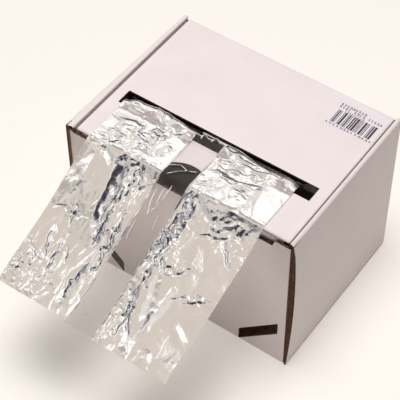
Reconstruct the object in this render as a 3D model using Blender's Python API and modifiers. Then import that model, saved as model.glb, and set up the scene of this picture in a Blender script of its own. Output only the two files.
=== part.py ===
"""Foil-strip dispenser carton for hair highlighting.

A corrugated mailer carton with double side walls, a hinged lid with a tuck flap and two
ears, and a wound web of foil with a clear film window that leaves through a slot in the lid.
Metres, +Z up, +Y to the back. The origin is the middle of the base, on the table.
"""

import bmesh
import bpy
from math import acos, atan2, cos, pi, radians, sin, sqrt
from mathutils import Matrix, Vector

# Overall sizes of the carton, outside to outside.
CARTON_WIDTH = 0.168
CARTON_DEPTH = 0.124
CARTON_HEIGHT = 0.125

# The board, and the gaps that neighbouring pieces keep.
BOARD = 0.0015
GAP = 0.0003
CREASE_GAP = 0.0004

# The lid and its flaps.
LID_DROP = 0.0015
LID_SIDE_CLEARANCE = 0.0005
FLAP_LENGTH = 0.028
FLAP_END_CLEARANCE = 0.0045
FLAP_CORNER = 0.006
EAR_LENGTH = 0.016
EAR_CORNER = 0.008
EAR_FRONT_CLEARANCE = 0.024
EAR_BACK_CLEARANCE = 0.014
CREASE_LEAN = radians(9)

# The slot that the web leaves through, and the thumb notch across the lid's front crease.
SLOT_WIDTH = 0.144
SLOT_LENGTH = 0.012
SLOT_FROM_FRONT = 0.035
NOTCH_RADIUS = 0.0215
NOTCH_DEPTH = 0.0160

# The front wall's lowered top edge and its two slanted slits.
RECESS_HALF_WIDTH = 0.0690
RECESS_BELOW_LID = 0.0090
LUG_BELOW_LID = 0.0039
LUG_SLOPE = 0.0020
SLIT_INNER_X = 0.0470
SLIT_OUTER_X = 0.0763
SLIT_LOW_Z = 0.0024
SLIT_OPENING = 0.0100
SLIT_RISE = 0.0275

# The double side walls.
WALL_BOW = 0.0030
BOW_CENTRE_Z = 0.070
DUST_FLAP_LENGTH = 0.052
DUST_FLAP_BELOW_TOP = 0.019
DUST_FLAP_CORNER = 0.012
WALL_KINK_BELOW_TOP = 0.017
CAP_THICKNESS = 0.0018
CAP_ROUND = 0.0012
TAB_WIDTH = 0.018
TAB_SPACING = 0.062
TAB_CLEARANCE = 0.0003
TAB_ABOVE_TABLE = 0.0004

# The web: a foil band, a clear film window and a second foil band, side by side.
WEB_THICKNESS = 0.0004
WEB_CENTRE_X = -0.0038
FOIL_WIDTH = 0.0552
WINDOW_WIDTH = 0.0198

# The wound roll that the web comes from.
ROLL_RADIUS = 0.046
ROLL_CENTRE_Y = 0.008
CORE_RADIUS = 0.0150
CORE_WALL = 0.0015
CORE_OVERHANG = 0.0030
ROLL_STEPS = 48

# The pulled-out strip: how it falls away from the lid's front edge.
STRIP_ABOVE_LID = 0.0004
ARCH_RISE = 0.0022
ARCH_REACH = 0.0038
ARCH_LEAN = 0.0004
ARCH_TOE = 0.0050
EDGE_RUN = 0.0120
EDGE_START = 0.0015
EDGE_START_DROP = 0.0001
EDGE_END_OUT = 0.0016
EDGE_END_DROP = 0.0014
STRIP_CURVE_STEPS = 5
WEB_END_CLEAR = 0.0016
WEB_END_DROP = 0.0008
STRIP_FALL = ((0.0125, 0.0082), (0.0445, 0.0225), (0.0760, 0.0364), (0.0975, 0.0438))
STRIP_END_SKEW = 0.0024

# The price label on the lid.
LABEL_WIDTH = 0.0372
LABEL_DEPTH = 0.0250
LABEL_THICKNESS = 0.0002
LABEL_GAP = 0.0002
LABEL_FROM_SIDE = 0.0015
LABEL_FROM_BACK = 0.0040

# Levels and planes that follow from the sizes above.
HALF_WIDTH = CARTON_WIDTH / 2
HALF_DEPTH = CARTON_DEPTH / 2
LID_TOP = CARTON_HEIGHT - LID_DROP
LID_BOTTOM = LID_TOP - BOARD
WALL_TOP = CARTON_HEIGHT - CAP_THICKNESS - GAP
DUST_FLAP_X = HALF_WIDTH - 1.5 * BOARD - GAP
INNER_WALL_X = HALF_WIDTH - 2.5 * BOARD - 2 * GAP
CAP_INNER_X = HALF_WIDTH - 2 * BOARD - GAP
INNER_DEPTH = HALF_DEPTH - BOARD - GAP
LID_HALF_WIDTH = CAP_INNER_X - LID_SIDE_CLEARANCE
LID_FRONT = -INNER_DEPTH
SLOT_FRONT = -HALF_DEPTH + SLOT_FROM_FRONT
SLOT_BACK = SLOT_FRONT + SLOT_LENGTH
ROLL_CENTRE_Z = BOARD + GAP + ROLL_RADIUS
WEB_RADIUS = ROLL_RADIUS + GAP + WEB_THICKNESS / 2


def clear_scene():
    for found in list(bpy.data.objects):
        bpy.data.objects.remove(found, do_unlink=True)


def new_collection(name):
    made = bpy.data.collections.new(name)
    bpy.context.scene.collection.children.link(made)
    return made


def new_material(name, color, roughness, metallic=0.0, alpha=1.0):
    material = bpy.data.materials.new(name)
    material.use_nodes = True
    shader = material.node_tree.nodes["Principled BSDF"]
    shader.inputs["Base Color"].default_value = (*color, 1.0)
    shader.inputs["Roughness"].default_value = roughness
    shader.inputs["Metallic"].default_value = metallic
    shader.inputs["Alpha"].default_value = alpha
    return material


clear_scene()
DISPENSER = new_collection("foil_strip_dispenser")

WHITE_BOARD = {"color": (0.80, 0.74, 0.72), "roughness": 0.55}
KRAFT_BOARD = {"color": (0.42, 0.29, 0.20), "roughness": 0.80}
FOIL = {"color": (0.86, 0.86, 0.87), "roughness": 0.22, "metallic": 1.0}
FILM = {"color": (0.90, 0.90, 0.88), "roughness": 0.08, "alpha": 0.30}
LABEL = {"color": (0.88, 0.85, 0.86), "roughness": 0.40}

# Turns that stand a flat outline up: the first coordinate runs along X or Y, the second up Z.
FLAT = Matrix.Identity(4)
FACING_Y = Matrix.Rotation(pi / 2, 4, "X")
FACING_X = Matrix(((0, 0, 1, 0), (1, 0, 0, 0), (0, 1, 0, 0), (0, 0, 0, 1)))


def add_node(name, mesh, finish, place=(0, 0, 0), turn=FLAT):
    """Puts a mesh in the scene as one named piece with a material of its own."""
    node = bpy.data.objects.new(name, mesh)
    node.data.materials.clear()
    node.data.materials.append(new_material(name, **finish))
    node.matrix_world = Matrix.Translation(place) @ turn
    DISPENSER.objects.link(node)
    return node


def attach(child, parent):
    """Parents a piece and keeps it where it is."""
    bpy.context.view_layer.update()
    child.parent = parent
    child.matrix_parent_inverse = parent.matrix_world.inverted()


def outline_mesh(name, outlines, thickness):
    """A sheet cut to the first outline, with the others as holes, half its thickness each way."""
    curve = bpy.data.curves.new(name, "CURVE")
    curve.dimensions = "2D"
    curve.fill_mode = "BOTH"
    curve.extrude = thickness / 2
    for outline in outlines:
        spline = curve.splines.new("POLY")
        spline.points.add(len(outline) - 1)
        for point, (across, up) in zip(spline.points, outline):
            point.co = (across, up, 0, 1)
        spline.use_cyclic_u = True
    drawn = bpy.data.objects.new(name, curve)
    DISPENSER.objects.link(drawn)
    bpy.context.view_layer.update()
    graph = bpy.context.evaluated_depsgraph_get()
    mesh = bpy.data.meshes.new_from_object(drawn.evaluated_get(graph))
    bpy.data.objects.remove(drawn)
    bpy.data.curves.remove(curve)
    weld(mesh)
    return mesh


def weld(mesh):
    bm = bmesh.new()
    bm.from_mesh(mesh)
    bmesh.ops.remove_doubles(bm, verts=bm.verts, dist=0.00001)
    bmesh.ops.recalc_face_normals(bm, faces=bm.faces)
    bm.to_mesh(mesh)
    bm.free()


def rectangle(left, low, right, high):
    return [(left, low), (right, low), (right, high), (left, high)]


def arc(centre, radius, start, end, steps):
    """Points along an arc, in degrees, from start to end."""
    points = []
    for step in range(steps + 1):
        angle = radians(start + (end - start) * step / steps)
        points.append((centre[0] + radius * cos(angle), centre[1] + radius * sin(angle)))
    return points


def smooth_line(points, steps):
    """A smooth curve through the points, as a list of points close together."""
    ends = [2 * Vector(points[0]) - Vector(points[1]), 2 * Vector(points[-1]) - Vector(points[-2])]
    line = [ends[0], *[Vector(point) for point in points], ends[1]]
    smooth = []
    for before, start, end, after in zip(line, line[1:], line[2:], line[3:]):
        for step in range(steps):
            t = step / steps
            smooth.append(
                0.5 * ((2 * start) + (end - before) * t
                       + (2 * before - 5 * start + 4 * end - after) * t * t
                       + (3 * start - before - 3 * end + after) * t * t * t)
            )
    smooth.append(line[-2])
    return smooth


def ribbon_outline(line, thickness):
    """The closed outline of a sheet of this thickness that follows a line."""
    upper = []
    lower = []
    for index, point in enumerate(line):
        along = line[min(index + 1, len(line) - 1)] - line[max(index - 1, 0)]
        across = Vector((-along.y, along.x)).normalized() * thickness / 2
        upper.append(tuple(point + across))
        lower.append(tuple(point - across))
    return upper + lower[::-1]


# ---- floor, front and back ----

def tab_centres():
    return (-TAB_SPACING / 2, TAB_SPACING / 2)


def make_floor():
    """The floor between the four walls, with a slot for each locking tab of the inner walls."""
    half_x = HALF_WIDTH - BOARD - GAP
    half_y = HALF_DEPTH - BOARD - GAP
    outlines = [rectangle(-half_x, -half_y, half_x, half_y)]
    for side in (-1, 1):
        for centre in tab_centres():
            outlines.append(rectangle(
                side * INNER_WALL_X - BOARD / 2 - TAB_CLEARANCE,
                centre - TAB_WIDTH / 2 - TAB_CLEARANCE,
                side * INNER_WALL_X + BOARD / 2 + TAB_CLEARANCE,
                centre + TAB_WIDTH / 2 + TAB_CLEARANCE,
            ))
    mesh = outline_mesh("floor_panel", outlines, BOARD)
    add_node("floor_panel", mesh, KRAFT_BOARD, (0, 0, BOARD / 2))


def slit_outline(side):
    """A slanted slit with upright ends, rising towards the carton's corner."""
    inner = side * SLIT_INNER_X
    outer = side * SLIT_OUTER_X
    low = SLIT_LOW_Z
    return [
        (inner, low),
        (outer, low + SLIT_RISE),
        (outer, low + SLIT_RISE + SLIT_OPENING),
        (inner, low + SLIT_OPENING),
    ]


def make_front_wall():
    """The front wall, lowered between its two corner lugs, with a slanted slit at each side."""
    half = HALF_WIDTH - BOARD - GAP
    lug = LID_TOP - LUG_BELOW_LID
    recess = LID_TOP - RECESS_BELOW_LID
    wall = [
        (-half, 0),
        (half, 0),
        (half, lug),
        (RECESS_HALF_WIDTH + LUG_SLOPE, lug),
        (RECESS_HALF_WIDTH, recess),
        (-RECESS_HALF_WIDTH, recess),
        (-RECESS_HALF_WIDTH - LUG_SLOPE, lug),
        (-half, lug),
    ]
    mesh = outline_mesh("front_wall", [wall, slit_outline(-1), slit_outline(1)], BOARD)
    add_node("front_wall", mesh, WHITE_BOARD, (0, -HALF_DEPTH + BOARD / 2, 0), FACING_Y)


def make_back_wall():
    """The back wall, which stops below the lid's crease so that the lid can turn back."""
    half = HALF_WIDTH - BOARD - GAP
    outline = rectangle(-half, 0, half, LID_BOTTOM - CREASE_GAP)
    mesh = outline_mesh("back_wall", [outline], BOARD)
    add_node("back_wall", mesh, WHITE_BOARD, (0, HALF_DEPTH - BOARD / 2, 0), FACING_Y)


# ---- double side walls ----

def bow(side, y, z):
    """How far an outer wall stands out: most at its free front edge, above mid height.

    The left wall's roll-over is loose, so that wall stays out to its top.
    """
    front = (HALF_DEPTH - y) / CARTON_DEPTH
    if z < BOW_CENTRE_Z:
        up = sin(pi / 2 * z / BOW_CENTRE_Z)
    elif side < 0:
        up = 1
    else:
        up = cos(pi / 2 * (z - BOW_CENTRE_Z) / (WALL_TOP - BOW_CENTRE_Z))
    return WALL_BOW * front * up


def make_outer_wall(name, side):
    """An outer side wall: one open sheet, bowed, with the board's thickness inwards."""
    bm = bmesh.new()
    bmesh.ops.create_grid(bm, x_segments=8, y_segments=12, size=0.5)
    for vert in bm.verts:
        y = vert.co.x * CARTON_DEPTH
        z = (vert.co.y + 0.5) * WALL_TOP
        vert.co = (side * (HALF_WIDTH + bow(side, y, z)), y, z)
    if side < 0:
        bmesh.ops.reverse_faces(bm, faces=bm.faces)
    mesh = bpy.data.meshes.new(name)
    bm.to_mesh(mesh)
    bm.free()
    wall = add_node(name, mesh, WHITE_BOARD)
    shell = wall.modifiers.new("board", "SOLIDIFY")
    shell.thickness = BOARD
    shell.offset = -1


def make_dust_flap(name, side, end):
    """A dust flap: folded off the front or back wall, and held between the two side walls."""
    rear = INNER_DEPTH
    tip = rear - DUST_FLAP_LENGTH
    low = BOARD + GAP
    high = CARTON_HEIGHT - DUST_FLAP_BELOW_TOP
    outline = [
        (end * rear, low),
        (end * (tip + DUST_FLAP_CORNER), low),
        (end * tip, low + DUST_FLAP_CORNER),
        (end * tip, high - DUST_FLAP_CORNER),
        (end * (tip + DUST_FLAP_CORNER), high),
        (end * rear, high),
    ]
    mesh = outline_mesh(name, [outline], BOARD)
    add_node(name, mesh, KRAFT_BOARD, (side * DUST_FLAP_X, 0, 0), FACING_X)


def inner_wall_outline():
    """An inner wall's outline, with its two locking tabs at the bottom."""
    half = INNER_DEPTH - GAP
    low = BOARD + GAP
    outline = [(half, low), (half, WALL_TOP), (-half, WALL_TOP), (-half, low)]
    for centre in tab_centres():
        outline.append((centre - TAB_WIDTH / 2, low))
        outline.append((centre - TAB_WIDTH / 2, TAB_ABOVE_TABLE))
        outline.append((centre + TAB_WIDTH / 2, TAB_ABOVE_TABLE))
        outline.append((centre + TAB_WIDTH / 2, low))
    return outline


def make_inner_wall(name, side):
    """An inner wall: upright past the dust flaps, then leaning out to its roll-over."""
    mesh = outline_mesh(name, [inner_wall_outline()], BOARD)
    kink = CARTON_HEIGHT - WALL_KINK_BELOW_TOP
    lean_end = LID_BOTTOM
    shift = side * (BOARD + GAP)
    bm = bmesh.new()
    bm.from_mesh(mesh)
    for level in (kink, lean_end):
        everything = bm.verts[:] + bm.edges[:] + bm.faces[:]
        bmesh.ops.bisect_plane(bm, geom=everything, dist=0.00001, plane_co=(0, level, 0), plane_no=(0, 1, 0))
    for vert in bm.verts:
        share = (vert.co.y - kink) / (lean_end - kink)
        vert.co.z += shift * min(1, max(0, share))
    bm.to_mesh(mesh)
    bm.free()
    add_node(name, mesh, WHITE_BOARD, (side * INNER_WALL_X, 0, 0), FACING_X)


def make_wall_cap(name, side):
    """The roll-over that joins an outer wall to its inner wall, round along both top edges.

    It widens towards the front as far as its outer wall stands out at the top.
    """
    inner = CAP_INNER_X
    outer = HALF_WIDTH
    low = CARTON_HEIGHT - CAP_THICKNESS
    corner = CARTON_HEIGHT - CAP_ROUND
    outline = [(inner, low), (outer, low)]
    outline += arc((outer - CAP_ROUND, corner), CAP_ROUND, 0, 90, 5)
    outline += arc((inner + CAP_ROUND, corner), CAP_ROUND, 90, 180, 5)
    outline = [(side * x, z) for x, z in outline]
    mesh = outline_mesh(name, [outline], CARTON_DEPTH)
    for vert in mesh.vertices:
        if abs(vert.co.x) > (inner + outer) / 2:
            vert.co.x += side * bow(side, -vert.co.z, WALL_TOP)
    add_node(name, mesh, WHITE_BOARD, (0, 0, 0), FACING_Y)


# ---- lid ----

def notch_points(edge, depth_direction):
    """The thumb notch: an arc that crosses an edge, from its right end to its left."""
    centre = edge - depth_direction * (NOTCH_RADIUS - NOTCH_DEPTH)
    rise = degrees_to_edge()
    if depth_direction > 0:
        return arc((0, centre), NOTCH_RADIUS, rise, 180 - rise, 20)
    return arc((0, centre), NOTCH_RADIUS, -rise, rise - 180, 20)


def degrees_to_edge():
    """The angle on the notch's circle where it meets the edge."""
    return 180 / pi * atan2(NOTCH_RADIUS - NOTCH_DEPTH, sqrt(
        NOTCH_RADIUS ** 2 - (NOTCH_RADIUS - NOTCH_DEPTH) ** 2))


def make_lid():
    """The lid. Its origin is on its crease, along the back wall's top outer edge."""
    front = LID_FRONT - HALF_DEPTH
    back = -GAP
    panel = [
        (LID_HALF_WIDTH, front),
        (LID_HALF_WIDTH, back),
        (-LID_HALF_WIDTH, back),
        (-LID_HALF_WIDTH, front),
    ]
    panel += notch_points(front, 1)[::-1]
    slot = rectangle(-SLOT_WIDTH / 2, SLOT_FRONT - HALF_DEPTH, SLOT_WIDTH / 2, SLOT_BACK - HALF_DEPTH)
    mesh = outline_mesh("lid_panel", [panel, slot], BOARD)
    for vert in mesh.vertices:
        vert.co.z -= BOARD / 2
    return add_node("lid_panel", mesh, WHITE_BOARD, (0, HALF_DEPTH, LID_TOP))


def make_tuck_flap(lid):
    """The tuck flap. Its origin is on its crease, at the lid's underside."""
    half = LID_HALF_WIDTH - FLAP_END_CLEARANCE
    outline = [
        (-half, -CREASE_GAP),
        (-half, -FLAP_LENGTH + FLAP_CORNER),
        (-half + FLAP_CORNER, -FLAP_LENGTH),
        (half - FLAP_CORNER, -FLAP_LENGTH),
        (half, -FLAP_LENGTH + FLAP_CORNER),
        (half, -CREASE_GAP),
    ]
    outline += notch_points(-CREASE_GAP, -1)
    mesh = outline_mesh("lid_tuck_flap", [outline], BOARD)
    for vert in mesh.vertices:
        vert.co.z += BOARD / 2
    place = (0, LID_FRONT + BOARD, LID_BOTTOM)
    turn = Matrix.Rotation(CREASE_LEAN, 4, "X") @ FACING_Y
    attach(add_node("lid_tuck_flap", mesh, WHITE_BOARD, place, turn), lid)


def make_ear(name, side, lid):
    """A lid ear. Its origin is on its crease, at the lid's underside."""
    front = LID_FRONT + EAR_FRONT_CLEARANCE
    back = HALF_DEPTH - EAR_BACK_CLEARANCE
    outline = [
        (front, -CREASE_GAP),
        (back, -CREASE_GAP),
        (back - EAR_CORNER / 2, -EAR_LENGTH),
        (front + EAR_CORNER, -EAR_LENGTH),
    ]
    mesh = outline_mesh(name, [outline], BOARD)
    for vert in mesh.vertices:
        vert.co.z += side * BOARD / 2
    place = (side * (LID_HALF_WIDTH - BOARD), 0, LID_BOTTOM)
    turn = Matrix.Rotation(side * CREASE_LEAN, 4, "Y") @ FACING_X
    attach(add_node(name, mesh, WHITE_BOARD, place, turn), lid)


def make_label(lid):
    """The price label at the lid's back right corner."""
    right = LID_HALF_WIDTH - LABEL_FROM_SIDE
    back = HALF_DEPTH - LABEL_FROM_BACK
    outline = rectangle(right - LABEL_WIDTH, back - LABEL_DEPTH, right, back)
    mesh = outline_mesh("price_label", [outline], LABEL_THICKNESS)
    level = LID_TOP + LABEL_GAP + LABEL_THICKNESS / 2
    attach(add_node("price_label", mesh, LABEL, (0, 0, level)), lid)


# ---- roll and web ----

def band_places():
    """The three bands of the web: name, middle and width."""
    window_left = WEB_CENTRE_X - WINDOW_WIDTH / 2
    window_right = WEB_CENTRE_X + WINDOW_WIDTH / 2
    foil = FOIL_WIDTH - GAP
    return (
        ("left_foil", window_left - GAP - foil / 2, foil, FOIL),
        ("window_film", WEB_CENTRE_X, WINDOW_WIDTH, FILM),
        ("right_foil", window_right + GAP + foil / 2, foil, FOIL),
    )


def ring_mesh(name, outer, inner, length):
    """A turned ring about its own Z axis: a closed profile that the Screw turns."""
    half = length / 2
    profile = [(outer, 0, half), (outer, 0, -half), (inner, 0, -half), (inner, 0, half)]
    mesh = bpy.data.meshes.new(name)
    mesh.from_pydata(profile, [(0, 1), (1, 2), (2, 3), (3, 0)], [])
    return mesh


def make_ring(name, outer, inner, length, centre_x, finish, axle):
    mesh = ring_mesh(name, outer, inner, length)
    place = (centre_x, ROLL_CENTRE_Y, ROLL_CENTRE_Z)
    ring = add_node(name, mesh, finish, place, Matrix.Rotation(pi / 2, 4, "Y"))
    turned = ring.modifiers.new("turned", "SCREW")
    turned.axis = "Z"
    turned.steps = ROLL_STEPS
    turned.render_steps = ROLL_STEPS
    turned.use_merge_vertices = True
    turned.merge_threshold = 0.00001
    attach(ring, axle)


def make_roll():
    """The roll lies loose on the floor and turns about its own axis as the web is pulled."""
    axle = bpy.data.objects.new("roll_axis", None)
    axle.location = (WEB_CENTRE_X, ROLL_CENTRE_Y, ROLL_CENTRE_Z)
    DISPENSER.objects.link(axle)
    web_width = 2 * FOIL_WIDTH + WINDOW_WIDTH
    core_length = web_width + 2 * CORE_OVERHANG
    make_ring("core_tube", CORE_RADIUS, CORE_RADIUS - CORE_WALL, core_length, WEB_CENTRE_X, KRAFT_BOARD, axle)
    for band, middle, width, finish in band_places():
        make_ring("wound_" + band, ROLL_RADIUS, CORE_RADIUS + GAP, width, middle, finish, axle)


def web_end():
    """Where the inner web stops, just under the lid at the slot's back edge."""
    return Vector((SLOT_BACK - GAP - WEB_END_CLEAR, LID_BOTTOM - GAP - WEB_END_DROP))


def inner_web_line():
    """From the tangent at the roll's upper back, straight up to the slot, then turned up."""
    centre = Vector((ROLL_CENTRE_Y, ROLL_CENTRE_Z))
    top = web_end()
    span = top - centre
    angle = atan2(span.y, span.x) - acos(WEB_RADIUS / span.length)
    tangent = centre + WEB_RADIUS * Vector((cos(angle), sin(angle)))
    return [tangent, top]


def strip_line():
    """The pulled-out strip: up at the slot's back, arched over it, flat on the lid, down in front."""
    level = LID_TOP + STRIP_ABOVE_LID + WEB_THICKNESS / 2
    throat = SLOT_BACK - GAP - WEB_THICKNESS
    edge = LID_FRONT - GAP
    points = [
        (throat, LID_BOTTOM - GAP / 2),
        (throat - ARCH_LEAN, LID_TOP + WEB_THICKNESS),
        (throat - ARCH_REACH, LID_TOP + ARCH_RISE),
        (SLOT_FRONT, LID_TOP + ARCH_RISE / 2 + WEB_THICKNESS),
        (SLOT_FRONT - ARCH_TOE, level),
        (edge + EDGE_RUN, level),
        (edge + EDGE_START, level - EDGE_START_DROP),
        (edge - EDGE_END_OUT, level - EDGE_END_DROP),
    ]
    for out, down in STRIP_FALL:
        points.append((-HALF_DEPTH - out, LID_TOP - down))
    return smooth_line(points, STRIP_CURVE_STEPS)


def make_web(lid):
    """Each band is one sheet from the roll to the slot, and one from the slot to its free end."""
    inner = ribbon_outline(inner_web_line(), WEB_THICKNESS)
    line = strip_line()
    for band, middle, width, finish in band_places():
        mesh = outline_mesh("inner_" + band, [inner], width)
        add_node("inner_" + band, mesh, finish, (middle, 0, 0), FACING_X)
        skew = STRIP_END_SKEW * (middle - WEB_CENTRE_X) / (FOIL_WIDTH / 2)
        end = line[-1] + (line[-1] - line[-2]).normalized() * skew
        outer = ribbon_outline(line[:-1] + [end], WEB_THICKNESS)
        mesh = outline_mesh("strip_" + band, [outer], width)
        attach(add_node("strip_" + band, mesh, finish, (middle, 0, 0), FACING_X), lid)


def build():
    make_floor()
    make_front_wall()
    make_back_wall()
    for word, side in (("left", -1), ("right", 1)):
        make_outer_wall(word + "_outer_wall", side)
        make_wall_cap(word + "_wall_cap", side)
        make_inner_wall(word + "_inner_wall", side)
        make_dust_flap("front_" + word + "_dust_flap", side, -1)
        make_dust_flap("back_" + word + "_dust_flap", side, 1)
    lid = make_lid()
    make_tuck_flap(lid)
    make_ear("lid_left_ear", -1, lid)
    make_ear("lid_right_ear", 1, lid)
    make_label(lid)
    make_roll()
    make_web(lid)


build()
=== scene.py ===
"""Looks of the foil strip dispenser carton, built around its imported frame."""

import math

import bmesh
import bpy
import numpy as np
from mathutils import Matrix, Vector


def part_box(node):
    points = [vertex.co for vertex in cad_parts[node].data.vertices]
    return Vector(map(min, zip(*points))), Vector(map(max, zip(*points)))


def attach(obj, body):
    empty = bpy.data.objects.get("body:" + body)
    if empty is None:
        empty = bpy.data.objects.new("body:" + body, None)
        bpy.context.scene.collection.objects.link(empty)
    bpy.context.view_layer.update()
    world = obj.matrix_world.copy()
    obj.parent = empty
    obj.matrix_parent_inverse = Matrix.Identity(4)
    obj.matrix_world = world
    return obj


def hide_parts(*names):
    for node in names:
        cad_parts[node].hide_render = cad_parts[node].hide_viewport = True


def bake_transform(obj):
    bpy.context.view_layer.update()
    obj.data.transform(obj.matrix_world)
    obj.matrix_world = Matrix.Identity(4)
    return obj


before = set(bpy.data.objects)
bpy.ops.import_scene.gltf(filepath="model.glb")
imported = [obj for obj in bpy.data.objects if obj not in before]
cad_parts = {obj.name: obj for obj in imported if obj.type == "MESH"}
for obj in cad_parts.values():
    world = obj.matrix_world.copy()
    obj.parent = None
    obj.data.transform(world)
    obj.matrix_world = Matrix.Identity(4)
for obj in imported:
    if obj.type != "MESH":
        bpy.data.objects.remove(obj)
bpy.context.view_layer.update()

bpy.ops.object.select_all(action="DESELECT")


# ---------------------------------------------------------------------------------------
# Camera
# A long lens looks down at the front right corner from a little over a metre away.
# ---------------------------------------------------------------------------------------

AROUND = math.radians(35.515)
DOWN = math.radians(50.003)
TILT = math.radians(-0.312)
CAMERA_PLACE = Vector((0.34778, -0.52613, 0.80026))
LENS, SENSOR, FARTHEST = 132.28, 36, 20

backwards = Vector((
    math.sin(AROUND) * math.cos(DOWN), -math.cos(AROUND) * math.cos(DOWN), math.sin(DOWN)
))
sideways = Vector((0, 0, 1)).cross(backwards).normalized()
upwards = backwards.cross(sideways)
camera_right = math.cos(TILT) * sideways + math.sin(TILT) * upwards
camera_up = math.cos(TILT) * upwards - math.sin(TILT) * sideways
camera_data = bpy.data.cameras.new("camera")
camera_data.lens = LENS
camera_data.sensor_width = SENSOR
camera_data.clip_end = FARTHEST
camera = bpy.data.objects.new("camera", camera_data)
bpy.context.scene.collection.objects.link(camera)
camera.matrix_world = Matrix.Translation(CAMERA_PLACE) @ Matrix((
    camera_right, camera_up, backwards
)).transposed().to_4x4()
bpy.context.scene.camera = camera


# ---------------------------------------------------------------------------------------
# Front wall
# Corrugated board: a white coated liner outside, a fluted medium, a kraft liner inside.
# Its top is cut down between two corner lugs, and two slanted slits are die-cut low down.
# ---------------------------------------------------------------------------------------

BOARD = 0.0015
LINER = 0.00026
FLUTE_PAPER = 0.00028
FLUTE_PITCH = 0.0034
FLUTE_STEPS = 10
# The flutes are modelled just clear of the liners that they are glued to.
GLUE_LINE = 0.00004
FOLD_ROUND = 0.00135
FOLD_STEPS = 5
INNER_INSET = LINER * 1.6


def new_finish(name, roughness, metallic=0.0, specular=0.5):
    """A node material with its shader's constant values set on the shader's own sockets."""
    material = bpy.data.materials.new(name)
    material.use_nodes = True
    shader = material.node_tree.nodes["Principled BSDF"]
    shader.inputs["Roughness"].default_value = roughness
    shader.inputs["Metallic"].default_value = metallic
    shader.inputs["Specular IOR Level"].default_value = specular
    return material, material.node_tree.nodes, material.node_tree.links, shader


def noise_field(nodes, links, scale, detail, stretch=(1, 1, 1)):
    """A noise texture on object coordinates, stretched along the axes."""
    place = nodes.new("ShaderNodeTexCoord")
    mapping = nodes.new("ShaderNodeMapping")
    mapping.inputs["Scale"].default_value = stretch
    noise = nodes.new("ShaderNodeTexNoise")
    noise.inputs["Scale"].default_value = scale
    noise.inputs["Detail"].default_value = detail
    links.new(place.outputs["Object"], mapping.inputs["Vector"])
    links.new(mapping.outputs["Vector"], noise.inputs["Vector"])
    return noise.outputs["Fac"]


def color_ramp(nodes, links, field, stops):
    ramp = nodes.new("ShaderNodeValToRGB")
    elements = ramp.color_ramp.elements
    while len(elements) < len(stops):
        elements.new(0.5)
    for element, (position, color) in zip(elements, stops):
        element.position = position
        element.color = (*color, 1)
    links.new(field, ramp.inputs["Fac"])
    return ramp.outputs["Color"]


def add_bump(nodes, links, shader, height, strength, distance, under=None):
    bump = nodes.new("ShaderNodeBump")
    bump.inputs["Strength"].default_value = strength
    bump.inputs["Distance"].default_value = distance
    links.new(height, bump.inputs["Height"])
    if under is not None:
        links.new(under, bump.inputs["Normal"])
    links.new(bump.outputs["Normal"], shader.inputs["Normal"])
    return bump.outputs["Normal"]


def coated_liner():
    """White clay coating with a faint pink cast, cloudy at a few centimetres, slightly pitted."""
    material, nodes, links, shader = new_finish("coated_liner", 0.46, specular=0.35)
    cloudy = noise_field(nodes, links, 38, 3)
    color = color_ramp(nodes, links, cloudy, [
        (0.30, (0.800, 0.715, 0.705)), (0.70, (0.835, 0.752, 0.742)),
    ])
    specks = noise_field(nodes, links, 900, 2)
    fleck = color_ramp(nodes, links, specks, [(0.28, (0.93, 0.91, 0.90)), (0.40, (1, 1, 1))])
    mix = nodes.new("ShaderNodeMix")
    mix.data_type = "RGBA"
    mix.blend_type = "MULTIPLY"
    mix.inputs["Factor"].default_value = 1
    links.new(color, mix.inputs["A"])
    links.new(fleck, mix.inputs["B"])
    links.new(mix.outputs["Result"], shader.inputs["Base Color"])
    add_bump(nodes, links, shader, noise_field(nodes, links, 1500, 3), 0.10, 0.0002)
    return material


def mottle(nodes, links, shader, field, stops):
    """Takes the colour from a ramp along a field, and hands the field on."""
    links.new(color_ramp(nodes, links, field, stops), shader.inputs["Base Color"])
    return field


def kraft_liner(name, dark, light):
    """Unbleached kraft paper: long brown fibres with darker specks."""
    material, *tree = new_finish(name, 0.82, specular=0.25)
    fibres = noise_field(*tree[:2], 700, 6, (1, 0.2, 1))
    add_bump(*tree, mottle(*tree, fibres, [(0.32, dark), (0.68, light)]), 0.35, 0.0002)
    return material


COATED = coated_liner()
KRAFT_DARK, KRAFT_LIGHT = (0.245, 0.135, 0.075), (0.40, 0.255, 0.155)
KRAFT = kraft_liner("kraft_liner", KRAFT_DARK, KRAFT_LIGHT)
FLUTING = kraft_liner("fluting", (0.13, 0.062, 0.036), (0.24, 0.125, 0.075))
# The raw-edge brown is darker than the paper itself: it paints the shade in the open flutes and gaps of a
# cut edge. Cut faces, liner rims, the caps' open ends and the right corner fold take it.
RAW_EDGE_AND_SHADE = kraft_liner("raw_edge_and_painted_shade", (0.060, 0.024, 0.014), (0.15, 0.068, 0.040))
BOARD_FINISHES = (COATED, KRAFT, FLUTING, RAW_EDGE_AND_SHADE)
BROWN, FLUTED, CUT = 1, 2, 3


def give_board_finishes(obj):
    for material in BOARD_FINISHES:
        obj.data.materials.append(material)


def mesh_points(obj):
    points = np.empty(len(obj.data.vertices) * 3)
    obj.data.vertices.foreach_get("co", points)
    return points.reshape(-1, 3)


def set_points(obj, points):
    obj.data.vertices.foreach_set("co", points.ravel())
    obj.data.update()


def select_faces(obj, wanted):
    """Goes into edit mode with the faces selected for which wanted(face) is true."""
    bpy.context.view_layer.objects.active = obj
    obj.select_set(True)
    bpy.ops.object.mode_set(mode="EDIT")
    bpy.ops.mesh.select_mode(type="FACE")
    bm = bmesh.from_edit_mesh(obj.data)
    for face in bm.faces:
        face.select_set(bool(wanted(face)))
    bmesh.update_edit_mesh(obj.data)


def select_edges(obj, wanted):
    """In edit mode, leaves those edges selected for which wanted(edge) is true."""
    bpy.ops.mesh.select_mode(type="EDGE")
    bm = bmesh.from_edit_mesh(obj.data)
    for edge in bm.edges:
        edge.select_set(bool(wanted(edge)))
    bmesh.update_edit_mesh(obj.data)


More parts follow.
